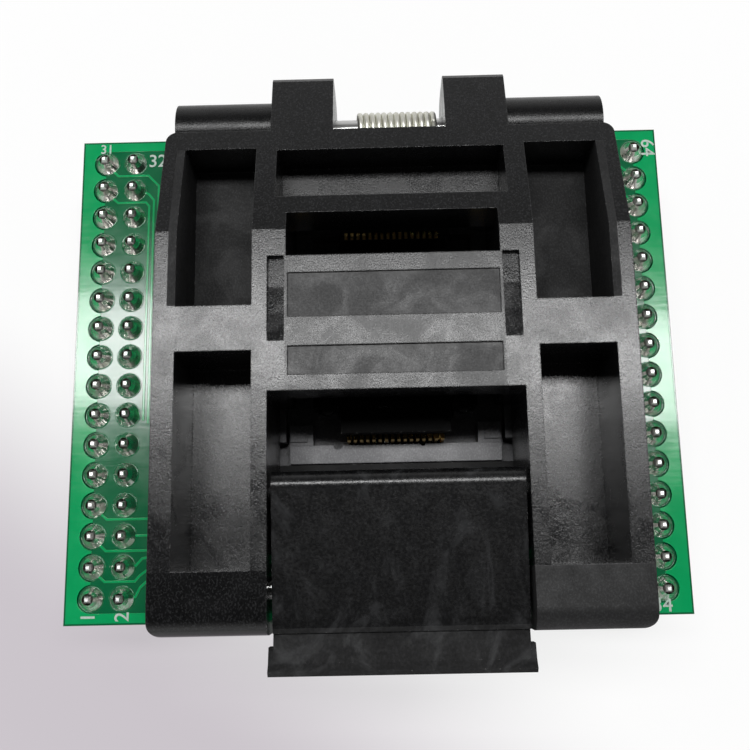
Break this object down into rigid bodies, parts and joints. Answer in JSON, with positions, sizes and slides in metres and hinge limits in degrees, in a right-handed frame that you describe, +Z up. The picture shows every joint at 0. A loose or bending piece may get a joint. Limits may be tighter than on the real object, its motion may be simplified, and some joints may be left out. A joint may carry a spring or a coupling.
{
  "type": "zif socket",
  "caption": "Zero insertion force test socket for a quad flat pack, with a hinged lid and latch, on a pin header adapter board.",
  "frame": {"origin": "middle of the header pin grid, on the plane of the header undersides that stand on a host board", "axes": "+Z up out of the board, +X to the right along the board's longer side, +Y towards the hinge, so the latch is at -Y"},
  "size_m": [0.0514, 0.0462, 0.0236],
  "materials": {
    "solder_mask": "satin",
    "header_plastic": "moulded",
    "gold_plate": "plated",
    "solder": "soft sheen",
    "base_plastic": "moulded",
    "block_plastic": "moulded",
    "bright_steel": "ground",
    "spring_wire": "drawn",
    "lid_plastic": "fine grain",
    "latch_plastic": "fine grain"
  },
  "bodies": {
    "base": {"circuit_board": "solder_mask", "header_body_left": "header_plastic", "header_body_right": "header_plastic", "header_pins_left": "gold_plate", "header_pins_right": "gold_plate", "solder_left": "solder", "solder_right": "solder", "contact_solder": "solder", "socket_base": "base_plastic", "contact_block": "block_plastic", "package_seat": "base_plastic", "contacts_front": "gold_plate", "contacts_rear": "gold_plate", "contacts_left": "gold_plate", "contacts_right": "gold_plate", "hinge_shaft": "bright_steel", "lid_spring": "spring_wire"},
    "lid": {"lid": "lid_plastic", "pusher_shaft": "bright_steel", "latch_shaft": "bright_steel", "latch_springs": "spring_wire", "pusher_springs": "spring_wire"},
    "pusher": {"pressure_plate": "base_plastic"},
    "latch": {"latch": "latch_plastic"}
  },
  "joints": [
    {"name": "lid_hinge", "type": "hinge", "parent": "base", "child": "lid", "pos_m": [0.00178, 0.01865, 0.01014], "axis": [-1, 0, 0], "range_deg": [0, 100]},
    {"name": "latch_hinge", "type": "hinge", "parent": "lid", "child": "latch", "pos_m": [0.00178, -0.0182, 0.01264], "axis": [-1, 0, 0], "range_deg": [-6, 12], "stiffness_Nm_per_rad": 0.002, "springref_deg": -14.32, "deforming": ["latch_springs"]},
    {"name": "pusher_slide", "type": "slide", "parent": "lid", "child": "pusher", "axis": [0, 0, 1], "range_m": [0, 0.001], "stiffness_N_per_m": 400, "springref_m": -0.001, "deforming": ["pusher_springs"]}
  ]
}
